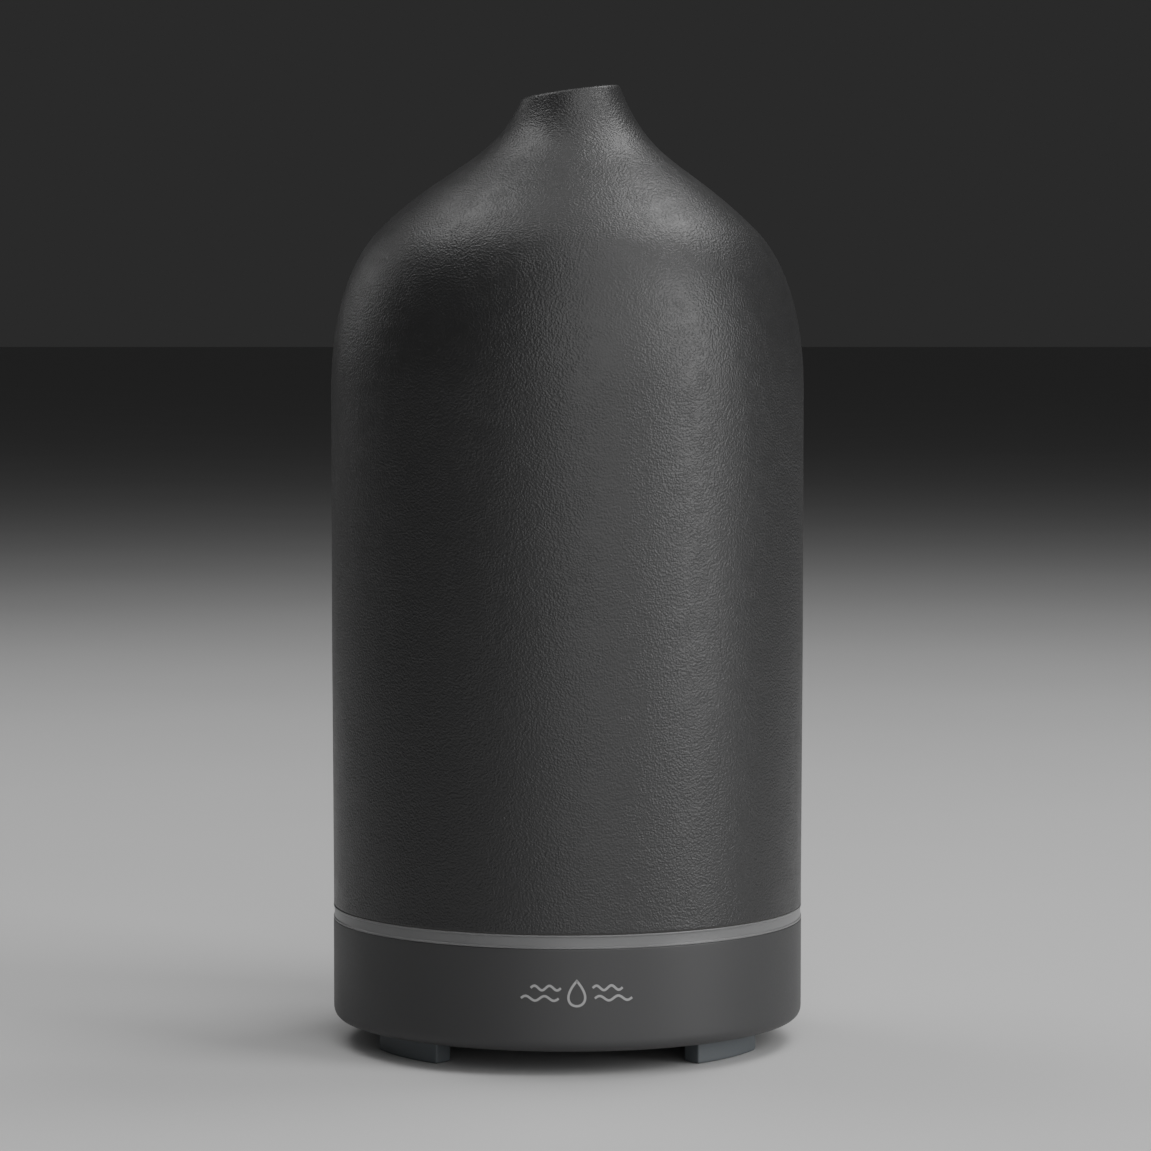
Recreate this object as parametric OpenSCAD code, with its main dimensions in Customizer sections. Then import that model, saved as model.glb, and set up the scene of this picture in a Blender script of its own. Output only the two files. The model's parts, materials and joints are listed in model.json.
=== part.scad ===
// Ultrasonic essential oil diffuser.
// A bottle-shaped ceramic cover stands on a translucent light ring above a low plastic base.
// Under the cover are the water tank with its lid and chimney, the piezo disc that makes the mist,
// the fan that carries the mist up, the control board, two buttons and a ring of LEDs.
// Millimetres, +Z up. The origin is on the table below the middle; the front faces -Y.

/* [Cover] */
// Diameter of the straight body of the cover
cover_diameter = 90; // [89.6:0.1:90.6]
// Height of the high side of the mouth above the table
total_height = 182.2; // [181:0.1:184]
// Slope of the mouth, degrees
mouth_slope = 7.9; // [5:0.1:11]
// Thickness of the ceramic around the body
cover_wall = 4; // [3.6:0.1:4.1]
// Thickness of the ceramic at the mouth
neck_wall = 3.2; // [2.8:0.1:3.4]

/* [Base] */
// Diameter of the base, the light ring and the foot of the cover
base_diameter = 89.6; // [89.4:0.1:90]
// Gap between the table and the underside of the base
foot_height = 4.6; // [4:0.1:5]
// Height of the visible side of the base
base_height = 19.1; // [19.1:0.1:19.8]
// Height of the visible edge of the light ring
ring_height = 2.5; // [2.5:0.1:3]
// Radius of the rounded edge under the base
base_rounding = 2.4; // [1:0.1:3]
// Thickness of the base wall
base_wall = 2.4; // [2.2:0.1:2.5]
// Number of LEDs under the light ring
led_count = 12; // [6:1:16]

/* [Tank and lid] */
// Outside radius of the tank wall
tank_radius = 37; // [36.6:0.1:37.2]
// Height of the tank rim above the table
tank_rim = 93; // [90:0.5:98]
// Height of the top of the chimney above the table
chimney_top = 168; // [160:0.5:169]
// Inside radius of the chimney
chimney_bore = 5.8; // [5.6:0.1:6]

/* [Fan] */
// Width of the square fan
fan_width = 40; // [39.6:0.1:40]
// Thickness of the fan
fan_depth = 10; // [10:0.1:10.4]
// Number of blades
blade_count = 7; // [5:1:9]
// Tilt of the blades, degrees
blade_tilt = 38; // [30:1:44]

/* [Part] */
// Piece to show

/* [Hidden] */
$fn = 96;

// Small distance by which a cutting shape runs past the face it opens
past = 1;

// Base levels and radii
base_radius = base_diameter / 2;
shell_bore = base_radius - base_wall;
base_top = foot_height + base_height;
ring_top = base_top + ring_height;
ledge_radius = shell_bore - 2;
led_board_low = base_top - 3.1;
led_board_high = led_board_low + 1.2;
led_board_radius = shell_bore - 0.6;
led_board_bore = 35;
lip_radius = 39.6;
lip_step_radius = 38;
lip_step = foot_height + 1.2;
lip_top = foot_height + 2.2;
floor_top = foot_height + 2;

// Cover
cover_radius = cover_diameter / 2;
straight_end = total_height - 58;
widest_height = ring_top + 49;
waist = [cover_radius - 9.35, total_height - 27.35];
mouth_radius = 8.8;
shoulder_curve = [
    [cover_radius, straight_end],
    [cover_radius, straight_end + 4.1],
    [cover_radius - 0.1, waist[1] - 9.2],
    waist
];
neck_curve = [
    waist,
    waist + [-13.2, 13.2],
    [mouth_radius + 5.5, total_height - 15.3],
    [mouth_radius, total_height]
];
curve_steps = 12;
mouth_middle = total_height - mouth_radius * tan(mouth_slope);
mouth_cut = 20;

// Tank
tank_bore = tank_radius - 2;
tank_floor = 49.5;
tank_floor_low = 47;
fill_line = 77.5;
shoulder_radius = base_radius - 4.4;
shoulder_top = ring_top + 5.3;
ring_ledge = ring_top - 1.5;
seal_top = ring_ledge + 0.7;
post_x = 26;
post_y = 16;
post_radius = 3;
post_foot = foot_height + 4;
post_screw_radius = 1.25;
post_screw_length = 12;
post_screw_recess = 2.3;
channel_x = 7;
channel_front = -32.4;
channel_back = -27;
channel_top = 84.5;

// Transducer under the tank floor
disc_radius = 10;
disc_low = tank_floor_low - 2.6;
disc_thickness = 1.2;
recess_radius = 12;
clamp_high = tank_floor_low - 4;
clamp_low = clamp_high - 1.4;
clamp_radius = 17;
clamp_screw_circle = 14.6;
clamp_screw_radius = 0.9;
clamp_screw_length = 5;
clamp_screw_angles = [90 : 120 : 330];

// Fan
fan_y = -11;
fan_low = floor_top;
fan_high = fan_low + fan_depth;
fan_bore = 18.8;
fan_hole = 16;
fan_screw_radius = 1.4;
fan_clearance = 1.6;
duct_flange = fan_high + 1.5;
duct_top = 30;
duct_step = duct_top - 10;
vent_radius = 17;
vent_pitch = 3.8;
shaft_radius = 0.75;
bearing_radius = 2.2;
cup_radius = 12;
cup_low = fan_low + 0.7;
cup_high = fan_high - 1.8;
mount_low = fan_high - 1.2;
stator_low = cup_low + 2.2;
stator_high = cup_high - 1;

// Control board and what stands on it
board_low = floor_top + 1.5;
board_high = board_low + 1.6;
board_radius = 39;
board_edge = 10.5;
board_screw_places = [[-26.5, 24], [26.5, 24], [0, 14]];
board_screw_radius = 1;
panel_axis = board_high + 4.7;
connector_size = [5, 4.4, 5.5];
connector_places = [[-17.5, 14.2], [-7, 14.2], [8.5, 14.2]];
connector_top = board_high + connector_size[2];
transistor_place = [-13.2, 22];
transistor_high = board_high + 2.3;
lead_radius = 0.5;

// Jack and buttons, in the rear wall
jack_face = shell_bore - 0.4;
jack_bore = 3.15;
jack_depth = 9;
jack_sleeve = 4;
pin_root = jack_face - 13;
pin_root_radius = 0.8;
pin_radius = 1;
pin_length = 9.3;
button_angle = 30;
button_radius = 3.5;
button_front = base_radius + 0.5;
plunger_radius = 1.6;
plunger_tip = shell_bore - 1.2;
switch_front = 37.5;
switch_height = 7.2;

// Rubber feet: arcs held by pegs
foot_start = 22.5;
foot_end = 51;
foot_inner = 34.5;
foot_outer = 38.5;
foot_peg_circle = 36;
foot_peg_radius = 1.2;

// LEDs
led_circle = 38.2;
led_size = [2.8, 3.5, 1.4];

function bezier(p, t) =
    pow(1 - t, 3) * p[0] + 3 * pow(1 - t, 2) * t * p[1]
    + 3 * (1 - t) * t * t * p[2] + t * t * t * p[3];

function bezier_run(p, t) =
    3 * pow(1 - t, 2) * (p[1] - p[0]) + 6 * (1 - t) * t * (p[2] - p[1])
    + 3 * t * t * (p[3] - p[2]);

// Unit vector to the left of the curve, which is inward for a curve that climbs
function inward(p, t) =
    let (run = bezier_run(p, t)) [-run[1], run[0]] / norm(run);

// Points along a curve, moved inward by a wall that changes from one thickness to another
function offset_curve(p, wall_start, wall_end, first) = [
    for (i = [first : curve_steps])
        let (t = i / curve_steps)
            bezier(p, t) + (wall_start + (wall_end - wall_start) * t) * inward(p, t)
];

// Short straight run past the mouth, cut off again by the slanted plane
function past_mouth(wall) =
    bezier(neck_curve, 1) + wall * inward(neck_curve, 1)
    + 3 * bezier_run(neck_curve, 1) / norm(bezier_run(neck_curve, 1));

function reversed(points) = [
    for (i = [len(points) - 1 : -1 : 0])
        points[i]
];

module ring(outer, inner, low, high) {
    translate([0, 0, low])
        difference() {
            cylinder(r = outer, h = high - low);
            translate([0, 0, -past])
                cylinder(r = inner, h = high - low + 2 * past);
        }
}

module block(low, high) {
    translate(low)
        cube(high - low);
}

// Pan-head screw pointing down, underside of the head at z = 0, with a crossed recess
module screw(head, head_height, shank, length) {
    slot = [head * 1.2, head * 0.25, head_height];
    difference() {
        union() {
            cylinder(r = head, h = head_height);
            translate([0, 0, -length])
                cylinder(r = shank, h = length + head_height / 2);
        }
        translate([0, 0, head_height])
            cube(slot, center = true);
        translate([0, 0, head_height])
            rotate([0, 0, 90])
                cube(slot, center = true);
    }
}

module at_posts() {
    for (x = [-post_x, post_x])
        for (y = [-post_y, post_y])
            translate([x, y, 0])
                children();
}

module at_fan_holes() {
    for (x = [-fan_hole, fan_hole])
        for (y = [-fan_hole, fan_hole])
            translate([x, fan_y + y, 0])
                children();
}

module at_board_screws() {
    for (place = board_screw_places)
        translate([place[0], place[1], 0])
            children();
}

// Places a piece drawn along +Z so that it points outward through the rear wall
module at_rear_wall(angle) {
    rotate([0, 0, -angle])
        translate([0, 0, panel_axis])
            rotate([-90, 0, 0])
                children();
}

module ceramic_cover() {
    color([0.2, 0.2, 0.21])
        difference() {
            rotate_extrude()
                polygon(concat(
                    [
                        [base_radius - cover_wall, ring_top],
                        [base_radius - 0.6, ring_top],
                        [base_radius, ring_top + 0.6],
                        [cover_radius, widest_height]
                    ],
                    offset_curve(shoulder_curve, 0, 0, 0),
                    offset_curve(neck_curve, 0, 0, 1),
                    [past_mouth(0), past_mouth(neck_wall)],
                    reversed(offset_curve(neck_curve, cover_wall, neck_wall, 1)),
                    reversed(offset_curve(shoulder_curve, cover_wall, cover_wall, 0))
                ));
            translate([0, 0, mouth_middle])
                rotate([0, -mouth_slope, 0])
                    block([-mouth_cut, -mouth_cut, 0], [mouth_cut, mouth_cut, 12]);
        }
}

module mist_lid() {
    skirt = tank_bore - 0.3;
    wall = 1.4;
    outer = chimney_bore + wall;
    color([0.9, 0.9, 0.88])
        rotate_extrude()
            polygon([
                [skirt - wall, tank_rim - 8],
                [skirt, tank_rim - 8],
                [skirt, tank_rim],
                [tank_radius, tank_rim],
                [tank_radius, tank_rim + 1.2],
                [tank_radius - 0.8, tank_rim + 2],
                [30, tank_rim + 7],
                [20, tank_rim + 13],
                [outer + 5, tank_rim + 17.5],
                [outer + 1.6, tank_rim + 21],
                [outer, tank_rim + 26],
                [outer, chimney_top - 0.6],
                [outer - 0.6, chimney_top],
                [chimney_bore, chimney_top],
                [chimney_bore, tank_rim + 25.6],
                [chimney_bore + 1.5, tank_rim + 20],
                [chimney_bore + 4.8, tank_rim + 16.5],
                [20, tank_rim + 11.4],
                [30, tank_rim + 5.4],
                [skirt - wall, tank_rim + 2.6]
            ]);
}

module splash_guard() {
    low = tank_rim - 15;
    high = tank_rim + 9;
    color([0.86, 0.87, 0.86])
        difference() {
            union() {
                ring(13.2, 12, low, high);
                ring(21, 12.6, tank_rim + 8, high);
            }
            for (angle = [0 : 60 : 300])
                rotate([0, 0, angle])
                    translate([8, -2.5, low + 9])
                        cube([8, 5, 10]);
        }
}

module water_tank() {
    color([0.82, 0.83, 0.82])
        difference() {
            union() {
                rotate_extrude()
                    polygon([
                        [9, tank_floor_low],
                        [recess_radius, tank_floor_low],
                        [recess_radius, clamp_high],
                        [clamp_radius, clamp_high],
                        [clamp_radius, tank_floor_low],
                        [tank_bore, tank_floor_low],
                        [tank_bore, shoulder_top - 1.5],
                        [shoulder_radius - 1.6, shoulder_top - 1.5],
                        [shoulder_radius - 1.6, seal_top],
                        [shoulder_radius, seal_top],
                        [shoulder_radius, shoulder_top - 1.2],
                        [shoulder_radius - 1.2, shoulder_top],
                        [tank_radius, shoulder_top],
                        [tank_radius, tank_rim],
                        [tank_bore, tank_rim],
                        [tank_bore, fill_line + 0.3],
                        [tank_bore - 0.4, fill_line],
                        [tank_bore - 0.4, fill_line - 0.3],
                        [tank_bore, fill_line - 0.6],
                        [tank_bore, tank_floor + 2],
                        [tank_bore - 2, tank_floor],
                        [13, tank_floor],
                        [10.5, tank_floor - 1],
                        [9, tank_floor - 1]
                    ]);
                at_posts()
                    translate([0, 0, post_foot])
                        cylinder(r = post_radius, h = tank_floor_low + 1 - post_foot);
                for (angle = [atan2(post_y, post_x), 180 - atan2(post_y, post_x)])
                    for (turn = [0, 180])
                        rotate([0, 0, angle + turn])
                            block([31, -0.7, ring_top + 4.8], [tank_bore + 0.5, 0.7, 47.5]);
                intersection() {
                    block(
                        [-channel_x - 1.5, -tank_radius, tank_floor_low],
                        [channel_x + 1.5, channel_back + 1.5, channel_top]
                    );
                    cylinder(r = tank_radius - 0.5, h = tank_rim);
                }
            }
            block(
                [-channel_x, channel_front, tank_floor_low - past],
                [channel_x, channel_back, channel_top + past]
            );
            at_posts()
                translate([0, 0, post_foot - past])
                    cylinder(r = post_screw_radius, h = post_screw_length + past);
            for (angle = clamp_screw_angles)
                rotate([0, 0, angle])
                    translate([clamp_screw_circle, 0, clamp_high - past])
                        cylinder(r = clamp_screw_radius, h = past + 4);
        }
}

module base_seal() {
    color([0.5, 0.5, 0.52])
        ring(shoulder_radius - 0.2, shoulder_radius - 1.6, ring_ledge, seal_top);
}

module light_ring() {
    edge = 0.3;
    inner = shoulder_radius + 0.2;
    color([0.72, 0.73, 0.74])
        rotate_extrude()
            polygon([
                [shell_bore - 2.2, led_board_high],
                [shell_bore - 0.2, led_board_high],
                [shell_bore - 0.2, base_top],
                [base_radius - edge, base_top],
                [base_radius, base_top + edge],
                [base_radius, ring_top - edge],
                [base_radius - edge, ring_top],
                [inner, ring_top],
                [inner, ring_ledge],
                [shoulder_radius - 2.2, ring_ledge],
                [shoulder_radius - 2.2, base_top],
                [shell_bore - 2.2, base_top]
            ]);
}

module base_shell() {
    corner = [base_radius - base_rounding, foot_height + base_rounding];
    color([0.22, 0.22, 0.23])
        difference() {
            rotate_extrude()
                polygon(concat(
                    [
                        [lip_radius, foot_height],
                        for (angle = [-90 : 7.5 : 0])
                            corner + base_rounding * [cos(angle), sin(angle)]
                    ],
                    [
                        [base_radius, base_top],
                        [shell_bore, base_top],
                        [shell_bore, led_board_low],
                        [ledge_radius, led_board_low],
                        [ledge_radius, led_board_low - 1],
                        [shell_bore, led_board_low - 1.2],
                        [shell_bore, lip_top + 0.6],
                        [shell_bore - 0.6, lip_top],
                        [lip_step_radius, lip_top],
                        [lip_step_radius, lip_step],
                        [lip_radius, lip_step]
                    ]
                ));
            at_rear_wall(0)
                translate([0, 0, shell_bore - 4])
                    cylinder(r = jack_sleeve + 0.1, h = 10);
            for (angle = [-button_angle, button_angle])
                at_rear_wall(angle)
                    translate([0, 0, shell_bore - 4])
                        cylinder(r = button_radius + 0.1, h = 10);
        }
}

module bottom_cover() {
    color([0.2, 0.2, 0.21])
        difference() {
            union() {
                translate([0, 0, foot_height])
                    cylinder(r = lip_radius - 0.2, h = lip_step - foot_height);
                translate([0, 0, foot_height])
                    cylinder(r = lip_step_radius - 0.2, h = floor_top - foot_height);
                at_posts()
                    translate([0, 0, foot_height])
                        cylinder(r = post_radius + 1, h = post_foot - foot_height);
                at_board_screws()
                    translate([0, 0, foot_height])
                        cylinder(r = 2.5, h = board_low - foot_height);
            }
            intersection() {
                translate([0, fan_y, 0])
                    cylinder(r = vent_radius, h = floor_top + past);
                for (i = [-4 : 4])
                    block(
                        [i * vent_pitch - 1, fan_y - fan_width / 2, foot_height - past],
                        [i * vent_pitch + 1, fan_y + fan_width / 2, floor_top + past]
                    );
            }
            at_posts() {
                translate([0, 0, foot_height - past])
                    cylinder(r = 2.9, h = post_screw_recess + past);
                translate([0, 0, foot_height])
                    cylinder(r = post_screw_radius, h = 10);
            }
            at_fan_holes()
                translate([0, 0, foot_height + 0.6])
                    cylinder(r = fan_screw_radius, h = 10);
            at_board_screws()
                translate([0, 0, foot_height + 0.8])
                    cylinder(r = board_screw_radius, h = 10);
            for (x = [-1, 1])
                for (y = [-1, 1])
                    scale([x, y, 1])
                        foot_pegs();
        }
}

module foot_pegs() {
    for (angle = [foot_start + 5, foot_end - 4])
        rotate([0, 0, angle])
            translate([foot_peg_circle, 0, foot_height - 0.5])
                cylinder(r = foot_peg_radius, h = 1.7);
}

// Foot drawn in the +X +Y quarter and mirrored into the quarter that x and y point to
module foot(x, y) {
    color([0.24, 0.27, 0.29])
        mirror([x < 0 ? 1 : 0, 0, 0])
            mirror([0, y < 0 ? 1 : 0, 0]) {
                rotate([0, 0, foot_start])
                    rotate_extrude(angle = foot_end - foot_start)
                        translate([foot_inner, 0])
                            square([foot_outer - foot_inner, foot_height]);
                foot_pegs();
            }
}

module front_left_foot() {
    foot(-1, -1);
}

module front_right_foot() {
    foot(1, -1);
}

module rear_left_foot() {
    foot(-1, 1);
}

module rear_right_foot() {
    foot(1, 1);
}

module transducer_seal() {
    color([0.85, 0.85, 0.83])
        difference() {
            ring(recess_radius, disc_radius - 1.5, clamp_high, tank_floor_low);
            translate([0, 0, disc_low])
                cylinder(r = disc_radius, h = disc_thickness);
        }
}

module transducer_disc() {
    color([0.8, 0.7, 0.45])
        translate([0, 0, disc_low])
            cylinder(r = disc_radius, h = disc_thickness);
}

module transducer_clamp() {
    color([0.7, 0.71, 0.72])
        difference() {
            ring(clamp_radius, 7.5, clamp_low, clamp_high);
            for (angle = clamp_screw_angles)
                rotate([0, 0, angle])
                    translate([clamp_screw_circle, 0, clamp_low - past])
                        cylinder(r = clamp_screw_radius + 0.1, h = 4);
        }
}

module clamp_screws() {
    color([0.75, 0.75, 0.77])
        for (angle = clamp_screw_angles)
            rotate([0, 0, angle])
                translate([clamp_screw_circle, 0, clamp_low])
                    mirror([0, 0, 1])
                        screw(1.8, 1.2, clamp_screw_radius, clamp_screw_length);
}

module air_duct() {
    wall = 1.2;
    half = fan_width / 2;
    color([0.88, 0.88, 0.86])
        difference() {
            union() {
                block([-half, fan_y - half, fan_high], [half, fan_y + half, duct_flange]);
                translate([0, fan_y, fan_high])
                    cylinder(r = 19.8, h = duct_top - fan_high);
                block(
                    [-channel_x - wall, channel_front - wall, duct_step],
                    [channel_x + wall, fan_y, duct_top]
                );
                block(
                    [-channel_x - wall, channel_front - wall, duct_top - wall],
                    [channel_x + wall, channel_back + wall, tank_floor_low]
                );
            }
            translate([0, fan_y, fan_high - past])
                cylinder(r = 18.4, h = duct_top - wall - fan_high + past);
            block(
                [-channel_x, channel_front, duct_step + wall],
                [channel_x, fan_y, duct_top - wall]
            );
            block(
                [-channel_x, channel_front, duct_top - 4],
                [channel_x, channel_back, tank_floor_low + past]
            );
            at_fan_holes()
                translate([0, 0, fan_high - past])
                    cylinder(r = fan_clearance, h = 5);
        }
}

module fan_frame() {
    half = fan_width / 2;
    color([0.12, 0.12, 0.13])
        difference() {
            union() {
                difference() {
                    block([-half, fan_y - half, fan_low], [half, fan_y + half, fan_high]);
                    translate([0, fan_y, fan_low - past])
                        cylinder(r = fan_bore, h = fan_depth + 2 * past);
                }
                translate([0, fan_y, mount_low])
                    cylinder(r = cup_radius, h = fan_high - mount_low);
                for (angle = [45 : 90 : 315])
                    translate([0, fan_y, 0])
                        rotate([0, 0, angle])
                            block([11, -1, mount_low], [fan_bore + 1, 1, fan_high]);
            }
            at_fan_holes()
                translate([0, 0, fan_low - past])
                    cylinder(r = fan_clearance, h = fan_depth + 2 * past);
            translate([0, fan_y, mount_low - past])
                cylinder(r = bearing_radius, h = fan_depth);
        }
}

module fan_bearing() {
    color([0.72, 0.6, 0.4])
        translate([0, fan_y, 0])
            ring(bearing_radius, shaft_radius + 0.03, cup_low + 1.4, fan_high);
}

module fan_stator() {
    color([0.5, 0.51, 0.53])
        translate([0, fan_y, 0])
            intersection() {
                ring(8.9, bearing_radius, stator_low, stator_high);
                union() {
                    translate([0, 0, stator_low])
                        cylinder(r = 4, h = stator_high - stator_low);
                    for (angle = [0 : 90 : 270])
                        rotate([0, 0, angle]) {
                            block([0, -1.2, stator_low], [10, 1.2, stator_high]);
                            block([7.6, -4, stator_low], [10, 4, stator_high]);
                        }
                }
            }
}

module fan_coils() {
    color([0.75, 0.42, 0.2])
        translate([0, fan_y, 0])
            for (angle = [0 : 90 : 270])
                rotate([0, 0, angle])
                    difference() {
                        block([4.4, -2.4, stator_low - 0.7], [7.4, 2.4, stator_high + 0.7]);
                        block([4, -1.2, stator_low], [8, 1.2, stator_high]);
                    }
}

module fan_rotor() {
    wall = 1;
    color([0.14, 0.14, 0.15])
        translate([0, fan_y, 0])
            difference() {
                union() {
                    translate([0, 0, cup_low])
                        cylinder(r = cup_radius, h = cup_high - cup_low);
                    intersection() {
                        ring(18.2, cup_radius - 0.5, cup_low + 0.3, cup_high - 0.2);
                        for (i = [0 : blade_count - 1])
                            rotate([0, 0, i * 360 / blade_count])
                                translate([15, 0, (cup_low + cup_high) / 2])
                                    rotate([blade_tilt, 0, 0])
                                        cube([8, 12, 0.8], center = true);
                    }
                }
                translate([0, 0, cup_low + wall])
                    cylinder(r = cup_radius - wall, h = fan_depth);
                translate([0, 0, cup_low + 0.3])
                    cylinder(r = shaft_radius, h = fan_depth);
            }
}

module fan_magnet() {
    color([0.3, 0.3, 0.31])
        translate([0, fan_y, 0])
            ring(cup_radius - 1, cup_radius - 2.6, cup_low + 1.4, cup_high - 0.4);
}

module fan_shaft() {
    color([0.8, 0.8, 0.82])
        translate([0, fan_y, cup_low + 0.3])
            cylinder(r = shaft_radius, h = fan_high - 0.3 - cup_low - 0.3);
}

module fan_screws() {
    color([0.75, 0.75, 0.77])
        at_fan_holes()
            translate([0, 0, duct_flange])
                screw(2.5, 1.8, fan_screw_radius, duct_flange - foot_height - 0.9);
}

module main_board() {
    color([0.1, 0.35, 0.2])
        difference() {
            intersection() {
                translate([0, 0, board_low])
                    cylinder(r = board_radius, h = board_high - board_low);
                block([-50, board_edge, board_low - past], [50, 50, board_high + past]);
            }
            for (x = [-post_x, post_x])
                translate([x, post_y, board_low - past]) {
                    cylinder(r = post_radius + 1.2, h = 4);
                    translate([-post_radius - 1.2, -10, 0])
                        cube([2 * post_radius + 2.4, 10, 4]);
                }
            at_board_screws()
                translate([0, 0, board_low - past])
                    cylinder(r = board_screw_radius + 0.2, h = 4);
        }
}

module board_screws() {
    color([0.75, 0.75, 0.77])
        at_board_screws()
            translate([0, 0, board_high])
                screw(2, 1.4, board_screw_radius, board_high - foot_height - 1);
}

module microcontroller() {
    place = [0, 22.5];
    color([0.08, 0.08, 0.09])
        union() {
            block(
                [place[0] - 2, place[1] - 2.5, board_high + 0.2],
                [place[0] + 2, place[1] + 2.5, board_high + 1.7]
            );
            for (side = [-1, 1])
                for (i = [-1.5 : 1 : 1.5])
                    block(
                        [place[0] + side * 2.35 - 0.65, place[1] + i * 1.27 - 0.2, board_high],
                        [place[0] + side * 2.35 + 0.65, place[1] + i * 1.27 + 0.2, board_high + 0.6]
                    );
        }
}

module power_transistor() {
    x = transistor_place[0];
    y = transistor_place[1];
    color([0.09, 0.09, 0.1])
        union() {
            block([x - 3.2, y - 3, board_high], [x + 3.2, y + 3, transistor_high]);
            for (i = [-1, 1])
                block(
                    [x + i * 2.3 - 0.4, y + 2.5, board_high],
                    [x + i * 2.3 + 0.4, y + 5, board_high + 0.6]
                );
        }
}

module heat_sink() {
    x = transistor_place[0];
    y = transistor_place[1];
    color([0.7, 0.71, 0.73])
        union() {
            block([x - 4.5, y - 4.5, transistor_high], [x + 4.5, y + 4.5, transistor_high + 1.4]);
            for (i = [-2 : 2])
                block(
                    [x + i * 2.1 - 0.3, y - 4.5, transistor_high + 1],
                    [x + i * 2.1 + 0.3, y + 4.5, transistor_high + 6.5]
                );
        }
}

module inductor() {
    color([0.16, 0.16, 0.17])
        translate([10.5, 23.5, board_high])
            union() {
                cylinder(r = 3.6, h = 0.8);
                cylinder(r = 2.9, h = 4.8);
                translate([0, 0, 4])
                    cylinder(r = 3.6, h = 0.8);
            }
}

module capacitors() {
    color([0.25, 0.3, 0.5])
        for (x = [-8.2, 8.2])
            translate([x, 31.5, board_high])
                difference() {
                    cylinder(r = 2.5, h = 7);
                    ring(3, 2.3, 1.2, 1.7);
                }
}

module board_connectors() {
    color([0.9, 0.89, 0.85])
        for (place = connector_places)
            translate([place[0] - connector_size[0] / 2, place[1] - connector_size[1] / 2, board_high])
                difference() {
                    cube(connector_size);
                    translate([0.8, -past, connector_size[2] - 2])
                        cube([0.8, past + 0.8, 3]);
                    translate([connector_size[0] - 1.6, -past, connector_size[2] - 2])
                        cube([0.8, past + 0.8, 3]);
                }
}

module dc_jack() {
    color([0.1, 0.1, 0.11])
        difference() {
            union() {
                block([-4.5, jack_face - 13.5, board_high], [4.5, jack_face, board_high + 9.2]);
                at_rear_wall(0)
                    translate([0, 0, jack_face - past])
                        cylinder(r = jack_sleeve, h = past + 2);
            }
            at_rear_wall(0)
                translate([0, 0, jack_face - jack_depth])
                    cylinder(r = jack_bore, h = 20);
            at_rear_wall(0)
                translate([0, 0, pin_root])
                    cylinder(r = pin_root_radius, h = 20);
        }
}

module dc_jack_pin() {
    color([0.85, 0.83, 0.75])
        at_rear_wall(0) {
            translate([0, 0, pin_root])
                cylinder(r = pin_root_radius, h = 5);
            translate([0, 0, jack_face - jack_depth + 0.3])
                cylinder(r = pin_radius, h = pin_length);
        }
}

module tact_switch(angle) {
    color([0.15, 0.15, 0.16])
        difference() {
            rotate([0, 0, -angle])
                block([-3, switch_front - 4, board_high], [3, switch_front, board_high + switch_height]);
            at_rear_wall(angle)
                translate([0, 0, switch_front - 3.6])
                    cylinder(r = plunger_radius + 0.06, h = 10);
        }
}

module plunger(angle) {
    color([0.85, 0.84, 0.8])
        at_rear_wall(angle)
            translate([0, 0, switch_front - 2.9])
                cylinder(r = plunger_radius, h = plunger_tip - switch_front + 2.9);
}

module button(angle) {
    color([0.16, 0.16, 0.17])
        at_rear_wall(angle)
            translate([0, 0, plunger_tip])
                rotate_extrude()
                    polygon([
                        [0, 0],
                        [button_radius + 0.8, 0],
                        [button_radius + 0.8, 0.9],
                        [button_radius, 0.9],
                        [button_radius, button_front - plunger_tip - 0.4],
                        [button_radius - 0.4, button_front - plunger_tip],
                        [0, button_front - plunger_tip]
                    ]);
}

module light_switch() {
    tact_switch(button_angle);
}

module mist_switch() {
    tact_switch(-button_angle);
}

module light_plunger() {
    plunger(button_angle);
}

module mist_plunger() {
    plunger(-button_angle);
}

module light_button() {
    button(button_angle);
}

module mist_button() {
    button(-button_angle);
}

module led_board() {
    color([0.9, 0.9, 0.88])
        ring(led_board_radius, led_board_bore, led_board_low, led_board_high);
}

module leds() {
    color([0.95, 0.9, 0.6])
        for (i = [0 : led_count - 1])
            rotate([0, 0, (i + 0.5) * 360 / led_count])
                difference() {
                    translate([led_circle - led_size[0] / 2, -led_size[1] / 2, led_board_high])
                        cube(led_size);
                    translate([led_circle, 0, led_board_high + 1])
                        cylinder(r = 1.1, h = 1);
                }
}

module lead_run(start, end) {
    run = end - start;
    length = norm(run);
    translate(start)
        rotate([0, acos(run[2] / length), atan2(run[1], run[0])])
            cylinder(r = lead_radius, h = length);
}

module lead(points) {
    for (i = [0 : len(points) - 2])
        lead_run(points[i], points[i + 1]);
    for (i = [1 : len(points) - 2])
        translate(points[i])
            sphere(r = lead_radius * 1.15);
}

module fan_leads() {
    place = connector_places[2];
    color([0.7, 0.1, 0.1])
        for (side = [-0.9, 0.9])
            lead([
                [place[0] + side, fan_y + fan_width / 2, board_high + 3],
                [place[0] + side, 10.5, board_high + 3],
                [place[0] + side, 10.5, connector_top + 1.8],
                [place[0] + side, place[1], connector_top + 1.8],
                [place[0] + side, place[1], connector_top]
            ]);
}

module transducer_leads() {
    place = connector_places[1];
    color([0.85, 0.85, 0.83])
        for (side = [-0.9, 0.9])
            lead([
                [place[0] + side, place[1], connector_top],
                [place[0] + side, place[1], 37 - side],
                [place[0] + side, 3 - side, 37 - side],
                [side * 3, 3 - side, 37 - side],
                [side * 3, 3 - side, disc_low]
            ]);
}

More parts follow.
